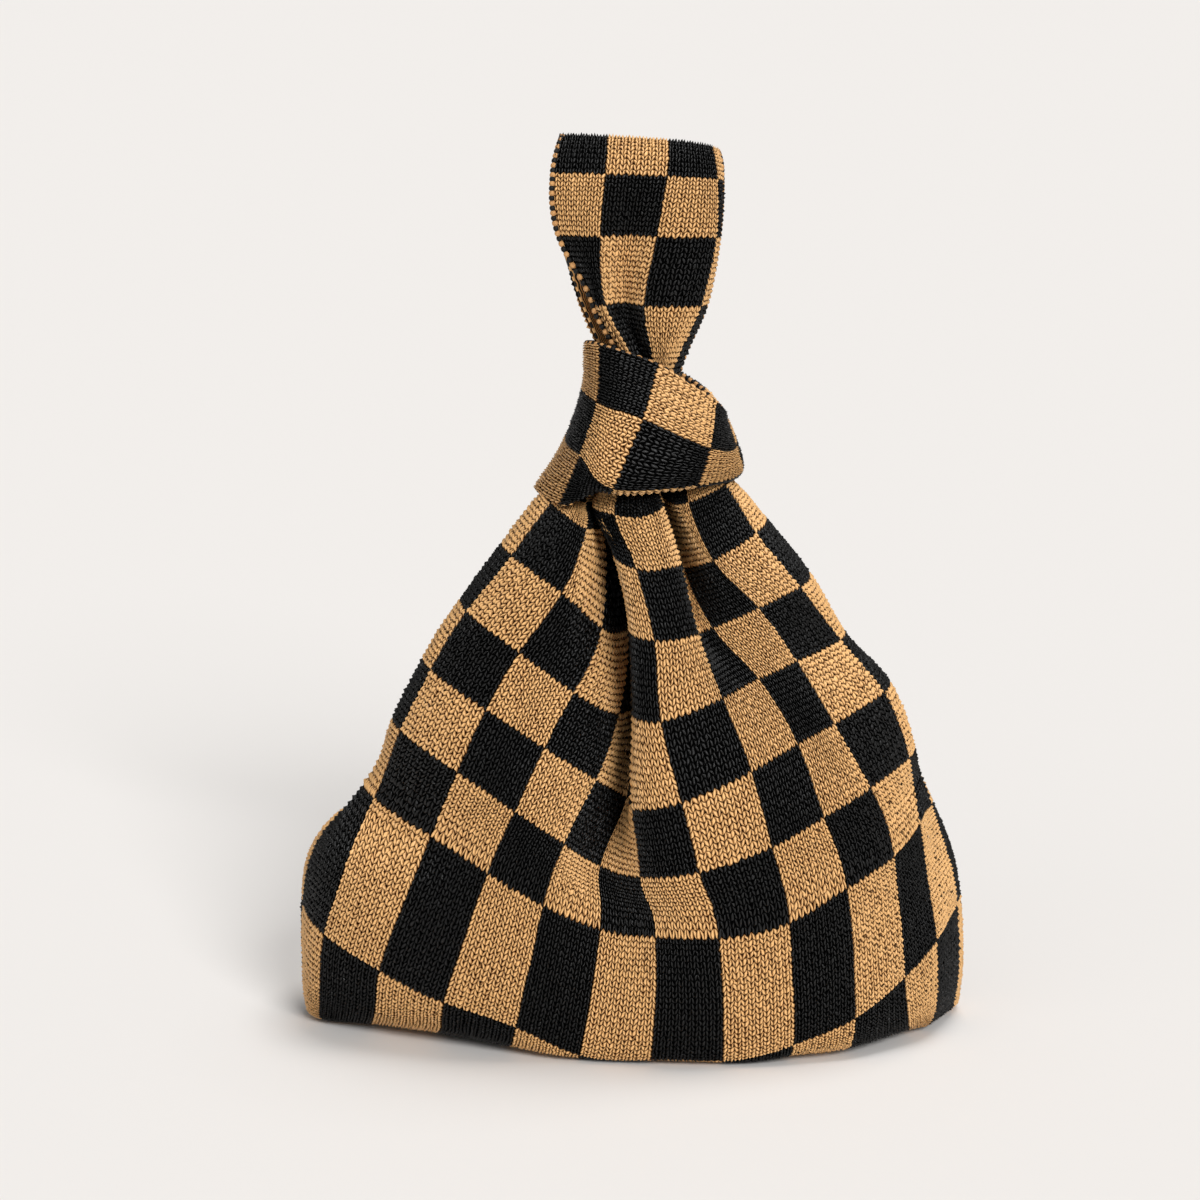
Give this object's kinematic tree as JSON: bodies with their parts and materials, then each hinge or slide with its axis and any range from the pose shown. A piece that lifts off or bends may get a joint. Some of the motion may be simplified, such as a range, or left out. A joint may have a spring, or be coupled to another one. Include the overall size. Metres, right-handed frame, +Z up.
{
  "type": "knitted knot bag",
  "caption": "Small knitted handbag in a two-colour check, with a soft pouch gathered at the mouth and a long handle drawn through a short one as a knot.",
  "frame": {"origin": "on the surface the bag stands on, at the middle of its flat sole", "axes": "+Z up from the sole to the top of the long handle, -Y out of the front of the bag, +X to the right in the picture"},
  "size_m": [0.2623, 0.1345, 0.3473],
  "materials": {
    "checked_knit": "matt knitted yarn",
    "handle_knit": "matt knitted yarn",
    "knot_knit": "matt knitted yarn"
  },
  "bodies": {
    "root": {"body": "checked_knit", "long_handle": "handle_knit", "short_handle": "knot_knit"}
  },
  "joints": []
}
